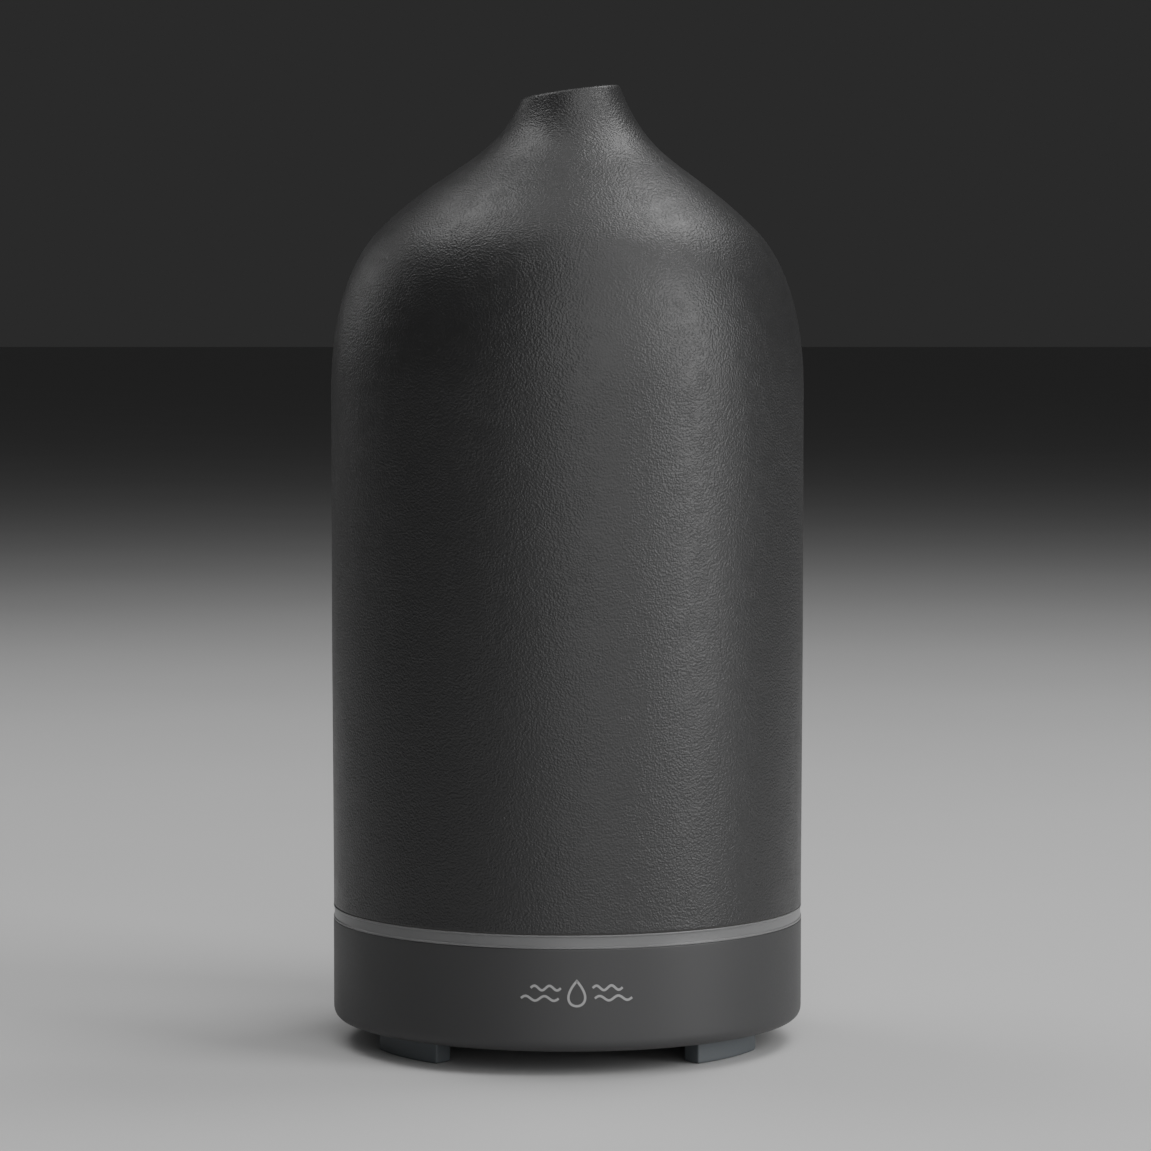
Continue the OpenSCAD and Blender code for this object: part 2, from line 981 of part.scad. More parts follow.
module led_leads() {
    place = connector_places[0];
    color([0.9, 0.9, 0.9])
        for (side = [-0.9, 0.9])
            lead([
                [place[0] + side, place[1], connector_top],
                [place[0] + side, place[1], connector_top + 2 + side],
                [-36.6, 4 + side, connector_top + 2 + side],
                [-36.6, 4 + side, led_board_low]
            ]);
}

module bottom_screws() {
    color([0.75, 0.75, 0.77])
        at_posts()
            translate([0, 0, foot_height + post_screw_recess])
                mirror([0, 0, 1])
                    screw(2.5, 1.6, post_screw_radius, post_screw_length);
}

module rating_label() {
    color([0.75, 0.76, 0.77])
        block([-14, 17.5, foot_height - 0.2], [14, 29.5, foot_height]);
}

ceramic_cover();
mist_lid();
splash_guard();
water_tank();
base_seal();
light_ring();
base_shell();
bottom_cover();
front_left_foot();
front_right_foot();
rear_left_foot();
rear_right_foot();
transducer_seal();
transducer_disc();
transducer_clamp();
clamp_screws();
air_duct();
fan_frame();
fan_bearing();
fan_stator();
fan_coils();
fan_rotor();
fan_magnet();
fan_shaft();
fan_screws();
main_board();
board_screws();
microcontroller();
power_transistor();
heat_sink();
inductor();
capacitors();
board_connectors();
dc_jack();
dc_jack_pin();
light_switch();
mist_switch();
light_plunger();
mist_plunger();
light_button();
mist_button();
led_board();
leds();
fan_leads();
transducer_leads();
led_leads();
bottom_screws();
rating_label();
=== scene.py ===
import json
import math

import bmesh
import bpy
from mathutils import Matrix, Vector, noise
from mathutils.geometry import tessellate_polygon


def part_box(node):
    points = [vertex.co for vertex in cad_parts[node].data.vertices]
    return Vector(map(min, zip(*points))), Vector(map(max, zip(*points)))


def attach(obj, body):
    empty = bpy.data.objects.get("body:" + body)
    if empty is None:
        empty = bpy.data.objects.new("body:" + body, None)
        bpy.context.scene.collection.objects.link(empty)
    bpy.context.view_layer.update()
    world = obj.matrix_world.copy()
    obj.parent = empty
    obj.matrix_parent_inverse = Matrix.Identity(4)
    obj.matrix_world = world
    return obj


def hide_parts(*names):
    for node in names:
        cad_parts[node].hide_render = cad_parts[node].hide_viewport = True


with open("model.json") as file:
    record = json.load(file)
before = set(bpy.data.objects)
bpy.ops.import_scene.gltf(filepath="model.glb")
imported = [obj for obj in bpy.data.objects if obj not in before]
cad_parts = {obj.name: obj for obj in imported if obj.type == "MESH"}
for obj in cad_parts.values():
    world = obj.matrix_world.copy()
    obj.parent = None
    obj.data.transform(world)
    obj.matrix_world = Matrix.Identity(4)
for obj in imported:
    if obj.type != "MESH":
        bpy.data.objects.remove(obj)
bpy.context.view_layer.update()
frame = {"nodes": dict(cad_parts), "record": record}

MM = 0.001
TAU = 2 * math.pi


# ---------------------------------------------------------------- measures from the frame

cover_low, cover_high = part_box("ceramic_cover")
shell_low, shell_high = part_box("base_shell")
ring_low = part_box("light_ring")[0]
lid_low, lid_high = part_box("mist_lid")
COVER_R = cover_high.x
TOP = cover_high.z
RING_TOP = cover_low.z
BASE_R = shell_high.x
BASE_LOW = shell_low.z
BASE_TOP = shell_high.z


# ---------------------------------------------------------------- outlines

def v2(x, y):
    """A point of an outline: distance from the axis and height, or x and y of a flat line."""
    return Vector((x, y))


def bezier(p, t):
    s = 1 - t
    return s * s * s * p[0] + 3 * s * s * t * p[1] + 3 * s * t * t * p[2] + t * t * t * p[3]


def bezier_run(p, t):
    s = 1 - t
    return 3 * s * s * (p[1] - p[0]) + 6 * s * t * (p[2] - p[1]) + 3 * t * t * (p[3] - p[2])


def inward(run):
    """Unit direction to the left of the run, which is the inside of every outline here."""
    return v2(-run.y, run.x).normalized()


def soft_corner(start, corner, end, steps, first=0):
    """Points of the soft bend from start to end that leans towards the corner."""
    shares = [k / steps for k in range(first, steps + 1)]
    return [(1 - t) ** 2 * start + 2 * t * (1 - t) * corner + t * t * end for t in shares]


def fillet_path(points, radii, steps=5):
    """Open or closed list of corner points with each corner rounded by its own radius."""
    out = []
    n = len(points)
    for i, p in enumerate(points):
        r = radii[i]
        if r <= 0:
            out.append(p.copy())
            continue
        a = (points[i - 1] - p)
        b = (points[(i + 1) % n] - p)
        la, lb = a.length, b.length
        a, b = a / la, b / lb
        half = math.acos(max(-1, min(1, a.dot(b)))) / 2
        if half > math.pi / 2 - 0.02:
            out.append(p.copy())
            continue
        reach = min(r / math.tan(half), 0.48 * la, 0.48 * lb)
        out += soft_corner(p + a * reach, p, p + b * reach, steps)
    return out


def split_long(points, longest, closed=True):
    """Adds points so that no run is longer than the given length."""
    out = []
    n = len(points)
    for i in range(n if closed else n - 1):
        a, b = points[i], points[(i + 1) % n]
        k = max(1, math.ceil((b - a).length / longest))
        out += [a + (b - a) * j / k for j in range(k)]
    if not closed:
        out.append(points[-1].copy())
    return out


# ---------------------------------------------------------------- meshes

def sharpen(mesh, angle=32):
    """Smooth shading, with hard edges only where two faces meet at more than the angle."""
    bm = bmesh.new()
    bm.from_mesh(mesh)
    bmesh.ops.remove_doubles(bm, verts=bm.verts, dist=1e-7)
    bmesh.ops.recalc_face_normals(bm, faces=bm.faces)
    limit = math.radians(angle)
    for face in bm.faces:
        face.smooth = True
    for edge in bm.edges:
        edge.smooth = len(edge.link_faces) == 2 and edge.calc_face_angle(0) < limit
    bm.to_mesh(mesh)
    bm.free()


def new_object(name, verts, faces, material, angle=32):
    mesh = bpy.data.meshes.new(name)
    mesh.from_pydata([tuple(v) for v in verts], [], faces)
    sharpen(mesh, angle)
    obj = bpy.data.objects.new(name, mesh)
    bpy.context.scene.collection.objects.link(obj)
    if material:
        mesh.materials.append(material)
    return obj


def turned_faces(rows, segments):
    """Faces of a closed outline with the given number of points, repeated round the axis."""
    faces = []
    for i in range(segments):
        j = (i + 1) % segments
        for k in range(rows):
            m = (k + 1) % rows
            faces.append((i * rows + k, j * rows + k, j * rows + m, i * rows + m))
    return faces


def revolve(name, profile, segments, material, angle=32):
    """Turns a closed outline of (radius, height) in metres round Z."""
    verts = []
    for i in range(segments):
        a = TAU * i / segments
        verts += [Vector((p.x * math.cos(a), p.x * math.sin(a), p.y)) for p in profile]
    return new_object(name, verts, turned_faces(len(profile), segments), material, angle)


def revolve_solid(name, profile, segments, material, place):
    """Turns an open outline that starts and ends on the axis, as a round cap, and puts it in place."""
    verts, faces = [], []
    ring = [p for p in profile if p.x > 1e-9]
    rows = len(ring)
    for i in range(segments):
        a = TAU * i / segments
        for p in ring:
            verts.append(Vector((p.x * math.cos(a), p.x * math.sin(a), p.y)))
    low, high = len(verts), len(verts) + 1
    verts += [Vector((0, 0, ring[0].y)), Vector((0, 0, ring[-1].y))]
    for i in range(segments):
        j = (i + 1) % segments
        for k in range(rows - 1):
            faces.append((i * rows + k, j * rows + k, j * rows + k + 1, i * rows + k + 1))
        faces.append((low, j * rows, i * rows))
        faces.append((high, i * rows + rows - 1, j * rows + rows - 1))
    return new_object(name, [place @ v for v in verts], faces, material)


def prism(name, outline, levels, material):
    """A closed outline raised through levels of (height, inset), capped at both ends."""
    n = len(outline)
    area = sum(outline[i - 1].x * outline[i].y - outline[i].x * outline[i - 1].y for i in range(n))
    turn = 1 if area > 0 else -1
    verts, faces = [], []
    for height, inset in levels:
        for i in range(n):
            before = (outline[i] - outline[i - 1]).normalized()
            after = (outline[(i + 1) % n] - outline[i]).normalized()
            mean = (before + after).normalized()
            out = v2(mean.y, -mean.x) * turn
            scale = 1 / max(0.5, mean.dot(after))
            p = outline[i] - out * inset * scale
            verts.append(Vector((p.x, p.y, height)))
    for k in range(len(levels) - 1):
        for i in range(n):
            j = (i + 1) % n
            faces.append((k * n + i, k * n + j, (k + 1) * n + j, (k + 1) * n + i))
    for base in (0, (len(levels) - 1) * n):
        cap = tessellate_polygon([[Vector((v.x, v.y, 0)) for v in verts[base:base + n]]])
        faces += [tuple(base + q for q in t) for t in cap]
    return new_object(name, verts, faces, material)


def tube(path, radius, sides=12):
    """Vertices and faces of a closed round tube along a list of points."""
    verts, faces = [], []
    tangents = []
    for i in range(len(path)):
        tangents.append((path[min(i + 1, len(path) - 1)] - path[max(i - 1, 0)]).normalized())
    side = tangents[0].orthogonal().normalized()
    for i, p in enumerate(path):
        side = (side - tangents[i] * side.dot(tangents[i])).normalized()
        up = tangents[i].cross(side)
        for k in range(sides):
            a = TAU * k / sides
            verts.append(p + radius * (math.cos(a) * side + math.sin(a) * up))
    for i in range(len(path) - 1):
        for k in range(sides):
            m = (k + 1) % sides
            low, high = i * sides, (i + 1) * sides
            faces.append((low + k, low + m, high + m, high + k))
    faces.append(tuple(range(sides))[::-1])
    faces.append(tuple(range((len(path) - 1) * sides, len(path) * sides)))
    return verts, faces


def ribbon(points, width, closed=False):
    """Left and right edges of a stroke of even width along a flat line, with mitred corners."""
    n = len(points)
    left, right = [], []
    for i in range(n):
        p = points[i]
        before = (p - points[i - 1]).normalized() if (i or closed) else None
        after = (points[(i + 1) % n] - p).normalized() if (i < n - 1 or closed) else before
        before = before or after
        run = (before + after).normalized()
        side = v2(-run.y, run.x) * width / 2 / max(0.4, run.dot(after))
        left.append(p + side)
        right.append(p - side)
    return left, right


def strokes(name, lines, width, thickness, wrap, material):
    """Thin raised strokes: each line is (points, closed), put in place by wrap(x, y, height)."""
    verts, faces = [], []
    for points, closed in lines:
        left, right = ribbon(points, width, closed)
        n = len(points)
        first = len(verts)
        for a, b in zip(left, right):
            for p, height in ((a, 0), (a, thickness), (b, thickness), (b, 0)):
                verts.append(wrap(p.x, p.y, height))
        for i in range(n if closed else n - 1):
            here, there = first + i * 4, first + (i + 1) % n * 4
            for k in range(4):
                m = (k + 1) % 4
                faces.append((here + k, there + k, there + m, here + m))
        if not closed:
            faces.append(tuple(first + k for k in range(4)))
            faces.append(tuple(first + (n - 1) * 4 + k for k in (3, 2, 1, 0)))
    return new_object(name, verts, faces, material)


# ---------------------------------------------------------------- materials

class Nodes:
    """A few words for building a node material."""

    def __init__(self, name):
        self.material = bpy.data.materials.new(name)
        self.material.use_nodes = True
        self.tree = self.material.node_tree
        self.tree.nodes.clear()
        self.out = self.tree.nodes.new("ShaderNodeOutputMaterial")
        self.shader = self.tree.nodes.new("ShaderNodeBsdfPrincipled")
        self.link(self.shader.outputs[0], self.out.inputs["Surface"])
        self.coord = self.tree.nodes.new("ShaderNodeTexCoord").outputs["Object"]

    def link(self, a, b):
        self.tree.links.new(a, b)

    def set(self, **values):
        for key, value in values.items():
            self.shader.inputs[key.replace("_", " ")].default_value = value

    def noise(self, scale, detail=2, rough=0.5, stretch=None):
        n = self.tree.nodes.new("ShaderNodeTexNoise")
        n.inputs["Scale"].default_value = scale
        n.inputs["Detail"].default_value = detail
        n.inputs["Roughness"].default_value = rough
        if stretch:
            m = self.tree.nodes.new("ShaderNodeMapping")
            m.inputs["Scale"].default_value = stretch
            self.link(self.coord, m.inputs["Vector"])
            self.link(m.outputs[0], n.inputs["Vector"])
        else:
            self.link(self.coord, n.inputs["Vector"])
        return n.outputs["Fac"]

    def cells(self, scale, smooth, wobble):
        """Distance to the middle of soft cells, whose edges a noise pushes about."""
        n = self.tree.nodes.new("ShaderNodeTexVoronoi")
        n.feature = "SMOOTH_F1"
        n.inputs["Scale"].default_value = scale
        n.inputs["Smoothness"].default_value = smooth
        push = self.tree.nodes.new("ShaderNodeTexNoise")
        push.inputs["Scale"].default_value = scale * 0.7
        self.link(self.coord, push.inputs["Vector"])
        moved = self.tree.nodes.new("ShaderNodeVectorMath")
        moved.operation = "MULTIPLY_ADD"
        self.link(push.outputs["Color"], moved.inputs[0])
        moved.inputs[1].default_value = (wobble / scale,) * 3
        self.link(self.coord, moved.inputs[2])
        self.link(moved.outputs[0], n.inputs["Vector"])
        return n.outputs["Distance"]

    def range(self, value, low, high, to_low, to_high):
        n = self.tree.nodes.new("ShaderNodeMapRange")
        ends = {"From Min": low, "From Max": high, "To Min": to_low, "To Max": to_high}
        for key, number in ends.items():
            n.inputs[key].default_value = number
        self.link(value, n.inputs["Value"])
        return n.outputs[0]

    def math(self, operation, a, b):
        n = self.tree.nodes.new("ShaderNodeMath")
        n.operation = operation
        for i, x in enumerate((a, b)):
            if isinstance(x, (int, float)):
                n.inputs[i].default_value = x
            else:
                self.link(x, n.inputs[i])
        return n.outputs[0]

    def mix(self, factor, a, b):
        n = self.tree.nodes.new("ShaderNodeMix")
        n.data_type = "RGBA"
        self.link(factor, n.inputs[0])
        for i, x in ((6, a), (7, b)):
            if isinstance(x, tuple):
                n.inputs[i].default_value = (*x, 1)
            else:
                self.link(x, n.inputs[i])
        return n.outputs[2]

    def bump(self, height, distance, after=None):
        n = self.tree.nodes.new("ShaderNodeBump")
        n.inputs["Distance"].default_value = distance
        n.inputs["Strength"].default_value = 1
        self.link(height, n.inputs["Height"])
        if after:
            self.link(after, n.inputs["Normal"])
        return n.outputs[0]

    def colour(self, out):
        self.link(out, self.shader.inputs["Base Color"])

    def roughness(self, out):
        self.link(out, self.shader.inputs["Roughness"])

    def normal(self, out):
        self.link(out, self.shader.inputs["Normal"])


def shade(colour, factor):
    """The colour made darker or lighter."""
    return tuple(min(1, c * factor) for c in colour)


def moulded(name, colour, rough, grain, depth, vary, **extra):
    """Moulded plastic or rubber: fine grain of the given depth in mm, flow clouds, uneven gloss."""
    m = Nodes(name)
    cloud = m.noise(45, 3)
    speck = m.noise(grain * 0.5, 2, 0.6)
    m.colour(m.mix(cloud, shade(colour, 1 - vary), shade(colour, 1 + vary)))
    m.roughness(m.math("ADD", m.range(cloud, 0.3, 0.7, rough - 0.04, rough + 0.04),
                       m.range(speck, 0.3, 0.7, -0.03, 0.03)))
    m.normal(m.bump(m.noise(grain, 2, 0.6), depth * MM))
    m.set(**extra)
    return m.material


def metal(name, colour, rough, stretch):
    """Rolled, drawn or turned metal: fine lines across the stretched direction and faint stains."""
    m = Nodes(name)
    cloud = m.noise(180, 4, 0.6)
    lines = m.noise(900, 3, 0.6, stretch)
    m.colour(m.mix(cloud, shade(colour, 0.92), shade(colour, 1.08)))
    m.roughness(m.math("ADD", m.range(cloud, 0.3, 0.7, rough - 0.05, rough + 0.05),
                       m.range(lines, 0.3, 0.7, -0.05, 0.05)))
    m.normal(m.bump(lines, 0.004 * MM))
    m.set(Metallic=1.0)
    return m.material


def ceramic():
    """Dark matte stoneware with a fine leathery relief of small raised grains and pits."""
    m = Nodes("dark_ceramic")
    grains = m.cells(2500, smooth=0.5, wobble=1.1)
    patches = m.noise(260, 3, 0.6)
    fine = m.noise(4300, 2, 0.55)
    broad = m.noise(330, 2, 0.5)
    dome = m.range(grains, 0.05, 0.75, 1, 0)
    height = m.math("MULTIPLY", dome, m.range(patches, 0.32, 0.62, 0.55, 1.0))
    height = m.math("ADD", height, m.math("MULTIPLY", fine, 0.35))
    soft = m.bump(broad, 0.004 * MM)
    m.normal(m.bump(height, 0.07 * MM, after=soft))
    tone = m.mix(m.noise(60, 4, 0.6), (0.0185, 0.0185, 0.0189), (0.0225, 0.0225, 0.0228))
    m.colour(m.mix(m.range(fine, 0.35, 0.7, 0, 0.5), tone, (0.028, 0.028, 0.0283)))
    m.roughness(m.math("ADD", m.range(patches, 0.3, 0.7, 0.35, 0.40),
                       m.range(fine, 0.3, 0.7, -0.03, 0.03)))
    m.set(Specular_IOR_Level=0.5)
    return m.material


def bisque():
    """The unglazed foot rim and inside of the cover: dry, chalky, a little lighter."""
    m = Nodes("bare_ceramic")
    fine = m.noise(1500, 4, 0.65)
    m.colour(m.mix(fine, (0.055, 0.053, 0.05), (0.085, 0.082, 0.078)))
    m.roughness(m.range(fine, 0.3, 0.7, 0.78, 0.92))
    m.normal(m.bump(fine, 0.02 * MM))
    return m.material


def frosted():
    """Translucent frosted plastic of the light ring."""
    m = Nodes("diffuser_plastic")
    cloud = m.noise(60, 3)
    fine = m.noise(5000, 2, 0.6)
    m.colour(m.mix(cloud, (0.134, 0.135, 0.136), (0.154, 0.155, 0.156)))
    m.roughness(m.math("ADD", m.range(cloud, 0.3, 0.7, 0.30, 0.36),
                       m.range(fine, 0.3, 0.7, -0.03, 0.03)))
    m.normal(m.bump(fine, 0.004 * MM))
    m.set(Subsurface_Weight=0.35, Subsurface_Scale=0.0012, IOR=1.49)
    m.shader.inputs["Subsurface Radius"].default_value = (1, 1, 1)
    return m.material


def circuit_board(name, mask, trace):
    """Solder mask over fine copper traces, which come and go in patches."""
    m = Nodes(name)
    bricks = m.tree.nodes.new("ShaderNodeTexBrick")
    bricks.inputs["Scale"].default_value = 260
    bricks.inputs["Mortar Size"].default_value = 0.09
    bricks.inputs["Mortar Smooth"].default_value = 0.1
    bricks.offset = 0.35
    m.link(m.coord, bricks.inputs["Vector"])
    line = bricks.outputs["Fac"]
    gate = m.range(m.noise(300, 1), 0.48, 0.52, 0, 1)
    line = m.math("MULTIPLY", line, gate)
    m.colour(m.mix(line, mask, trace))
    m.roughness(m.range(m.noise(1200, 2), 0.3, 0.7, 0.28, 0.38))
    m.normal(m.bump(line, 0.03 * MM))
    m.set(Coat_Weight=0.3, Coat_Roughness=0.2)
    return m.material


def wound_copper():
    """Enamelled wire laid turn by turn."""
    m = Nodes("copper")
    waves = m.tree.nodes.new("ShaderNodeTexWave")
    waves.bands_direction = "Z"
    waves.inputs["Scale"].default_value = 1700
    waves.inputs["Distortion"].default_value = 0.6
    m.link(m.coord, waves.inputs["Vector"])
    turns = waves.outputs["Fac"]
    m.colour(m.mix(turns, (0.30, 0.11, 0.04), (0.72, 0.33, 0.13)))
    m.roughness(m.range(turns, 0, 1, 0.42, 0.26))
    m.normal(m.bump(turns, 0.06 * MM))
    m.set(Metallic=1.0)
    return m.material


def paper_label():
    """Blank silvered film label with fine fibre."""
    m = Nodes("label")
    fine = m.noise(900, 4, 0.7, (1, 6, 1))
    m.colour(m.mix(fine, (0.46, 0.47, 0.48), (0.56, 0.57, 0.58)))
    m.roughness(m.range(fine, 0.3, 0.7, 0.38, 0.5))
    m.normal(m.bump(fine, 0.006 * MM))
    m.set(Metallic=0.25)
    return m.material


def led_package():
    """Phosphor-filled LED window in a white housing."""
    m = Nodes("led_package")
    grain = m.noise(5200, 3, 0.7)
    m.colour(m.mix(grain, (0.78, 0.60, 0.16), (0.90, 0.80, 0.42)))
    m.roughness(m.range(grain, 0.3, 0.7, 0.2, 0.36))
    m.normal(m.bump(grain, 0.01 * MM))
    m.set(Coat_Weight=0.5, Coat_Roughness=0.1)
    return m.material


SLOTS = {
    "dark_ceramic": ceramic(),
    "white_plastic": moulded("white_plastic", (0.70, 0.70, 0.67), 0.34, 3000, 0.006, 0.03,
                             Subsurface_Weight=0.15, Subsurface_Scale=0.001),
    "silicone": moulded("silicone", (0.50, 0.50, 0.49), 0.5, 2500, 0.006, 0.04),
    "diffuser_plastic": frosted(),
    "dark_plastic": moulded("dark_plastic", (0.037, 0.037, 0.038), 0.48, 5200, 0.007, 0.05),
    "foot_rubber": moulded("foot_rubber", (0.092, 0.102, 0.110), 0.55, 2600, 0.012, 0.08),
    "piezo_electrode": metal("piezo_electrode", (0.72, 0.68, 0.58), 0.32, (1, 1, 1)),
    "steel": metal("steel", (0.60, 0.60, 0.60), 0.3, (1, 1, 12)),
    "black_plastic": moulded("black_plastic", (0.020, 0.020, 0.021), 0.45, 3500, 0.008, 0.08),
    "brass": metal("brass", (0.62, 0.46, 0.22), 0.35, (1, 1, 20)),
    "copper": wound_copper(),
    "magnet": moulded("magnet", (0.05, 0.05, 0.053), 0.5, 1800, 0.02, 0.12, Metallic=0.6),
    "circuit_board": circuit_board("circuit_board", (0.012, 0.12, 0.05), (0.03, 0.22, 0.09)),
    "aluminium": metal("aluminium", (0.72, 0.73, 0.74), 0.33, (1, 20, 1)),
    "capacitor_sleeve": moulded("capacitor_sleeve", (0.022, 0.028, 0.09), 0.28, 900, 0.004, 0.1,
                                Coat_Weight=0.4, Coat_Roughness=0.15),
    "connector_plastic": moulded("connector_plastic", (0.74, 0.71, 0.62), 0.4, 2600, 0.006, 0.05),
    "nickel": metal("nickel", (0.76, 0.73, 0.66), 0.2, (12, 1, 12)),
    "led_board": circuit_board("led_board", (0.74, 0.74, 0.71), (0.60, 0.60, 0.57)),
    "led_package": led_package(),
    "red_lead": moulded("red_lead", (0.42, 0.02, 0.018), 0.36, 1200, 0.006, 0.1),
    "white_lead": moulded("white_lead", (0.68, 0.68, 0.66), 0.36, 1200, 0.006, 0.05),
    "label": paper_label(),
}
BARE = bisque()
INK = moulded("printed_ink", (0.30, 0.30, 0.30), 0.5, 3500, 0.006, 0.06)

slot_of = {s["node"]: s["material_slot"] for s in frame["record"]["subparts"]}
for node_name, obj in frame["nodes"].items():
    finish = SLOTS[slot_of[node_name]]
    if not obj.data.materials:
        obj.data.materials.append(finish)
    for place in obj.material_slots:
        place.material = finish


def settle(obj, body, slot, *nodes):
    """Rides on the body and stands for the named nodes; the slot is not used."""
    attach(obj, body)
    if nodes:
        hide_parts(*nodes)
    return obj


# ---------------------------------------------------------------- ceramic cover

WALL = 4.0 * MM
NECK_WALL = 3.2 * MM
MOUTH_R = 8.8 * MM
SLOPE = math.tan(math.radians(7.9))     # of the mouth's plane
LEAN = 1.1 * MM                         # how far the mouth is off the axis
TAPER_TOP = RING_TOP + 49 * MM          # below this the wall draws in to the base's radius
SHRINK = 0.05 * MM                      # keeps the uneven skin inside the CAD skin
LIP_START = 0.016                       # where the mouth's edge starts, on the neck curve's own scale
LIP_END = 0.06                          # and where it ends inside
LIP_FLAT = (0.22, 0.62)                 # the flat part between them, as shares of the wall
WAIST = v2(COVER_R - 9.35 * MM, TOP - 27.35 * MM)
SHOULDER = [
    v2(COVER_R, TOP - 58 * MM),
    v2(COVER_R, TOP - 53.9 * MM),
    v2(COVER_R - 0.1 * MM, WAIST.y - 9.2 * MM),
    WAIST,
]
NECK = [
    WAIST,
    WAIST + v2(-13.2 * MM, 13.2 * MM),
    v2(MOUTH_R + 5.5 * MM, TOP - 15.3 * MM),
    v2(MOUTH_R, TOP),
]
MOUTH_MIDDLE = TOP - MOUTH_R * SLOPE


def lean_at(z):
    """Sideways lean of the neck, which grows smoothly over 20 mm."""
    t = max(0, min(1, (z - (TOP - 26 * MM)) / (20 * MM)))
    return LEAN * t * t * (3 - 2 * t)


def ripple(v):
    """Faint unevenness of a slip-cast wall."""
    broad = noise.noise(v * 75)
    fine = noise.noise(v * 190 + Vector((3, 7, 1)))
    return 0.008 * MM * broad + 0.002 * MM * fine


def neck_point(t, wall):
    """A point of the neck's curve moved inward by the wall; past 1 the curve goes on straight."""
    if t <= 1:
        return bezier(NECK, t) + inward(bezier_run(NECK, t)) * wall
    run = bezier_run(NECK, 1)
    return bezier(NECK, 1) + inward(run) * wall + run * (t - 1)


def neck_end(wall, cos_a):
    """Where the neck's curve, moved inward by the wall, meets the slanted plane of the mouth."""
    low, high = 0.6, 1.12
    for _ in range(40):
        t = (low + high) / 2
        p = neck_point(t, wall)
        if p.y > MOUTH_MIDDLE + p.x * cos_a * SLOPE:
            high = t
        else:
            low = t
    return low


def shoulder_point(t, wall):
    return bezier(SHOULDER, t) + inward(bezier_run(SHOULDER, t)) * wall


def cover_rows(a):
    """Outline of the cover at one angle, from the foot up the outside and down the inside."""
    cos_a = math.cos(a)
    foot_height = 6 * MM
    foot = fillet_path(
        [v2(BASE_R - WALL, RING_TOP + foot_height), v2(BASE_R - WALL, RING_TOP),
         v2(BASE_R, RING_TOP), v2(BASE_R + 0.02 * MM, RING_TOP + foot_height)],
        [0, 0.7 * MM, 0.5 * MM, 0], 6)
    outside = foot[1:-1]
    straight = [v2(BASE_R, RING_TOP + 1.6 * MM), v2(COVER_R, TAPER_TOP), SHOULDER[0]]
    outside += split_long(straight, 1.6 * MM, closed=False)[:-1]
    outside += [bezier(SHOULDER, i / 26) for i in range(26)]
    end = neck_end(0, cos_a)
    outside += [neck_point((end - LIP_START) * i / 34, 0) for i in range(35)]
    tip = neck_point(end, 0)
    inner_end = neck_end(NECK_WALL, cos_a)
    inner_tip = neck_point(inner_end, NECK_WALL)
    across = inner_tip - tip
    lip = soft_corner(outside[-1], tip, tip + across * LIP_FLAT[0], 6, first=1)
    inner_start = inner_end - LIP_END
    lip += soft_corner(tip + across * LIP_FLAT[1], inner_tip, neck_point(inner_start, NECK_WALL), 6)
    inside = []
    for i in range(24):
        t = inner_start * (1 - (i + 1) / 24)
        inside.append(neck_point(t, WALL + (NECK_WALL - WALL) * max(0, t)))
    inside += [shoulder_point(1 - i / 16, WALL) for i in range(1, 17)]
    down = [inside[-1], v2(COVER_R - WALL, TAPER_TOP), v2(BASE_R - WALL, RING_TOP + 2 * MM)]
    inside += split_long(down, 5 * MM, closed=False)[1:]
    return outside, lip, inside


def make_cover():
    segments = 320
    first_uneven, fade_rows = 8, 6
    verts = []
    for i in range(segments):
        a = TAU * i / segments
        outside, lip, inside = cover_rows(a)
        line = outside + lip + inside
        skin = len(outside) + len(lip) // 2
        for k, p in enumerate(line):
            v = Vector((p.x * math.cos(a), p.x * math.sin(a), p.y))
            if first_uneven < k < skin:
                fade = min(1, (k - first_uneven) / fade_rows, (skin - k) / fade_rows)
                v += Vector((math.cos(a), math.sin(a), 0)) * (ripple(v) - SHRINK) * fade
            v.x += lean_at(v.z)
            verts.append(v)
    faces = turned_faces(len(verts) // segments, segments)
    cover = new_object("cover_ceramic", verts, faces, SLOTS["dark_ceramic"], 50)
    cover.data.materials.append(BARE)
    foot_level, glaze_level = RING_TOP + 0.25 * MM, TOP - 9 * MM
    for face in cover.data.polygons:
        c = face.center
        r = math.hypot(c.x - lean_at(c.z), c.y)
        inside_face = face.normal.x * c.x + face.normal.y * c.y < 0 and c.z < glaze_level
        if c.z < foot_level or (inside_face and r < COVER_R - 2 * MM):
            face.material_index = 1
    return cover


settle(make_cover(), "cover", "dark_ceramic", "ceramic_cover")


# ---------------------------------------------------------------- light ring

# The corners of the ring, the shell and the lid are in mm, and mm() turns them into metres.
SHELL_WALL = 2.4
RING_WALL = 2.0      # of the skirt that stands in the shell
RING_GAP = 0.2       # between that skirt and the shell's bore
BEAD = 0.3           # height of the two fine edges of the ring
GROOVE = 0.16        # depth of the face between them


def mm(points):
    return [v2(x * MM, y * MM) for x, y in points]


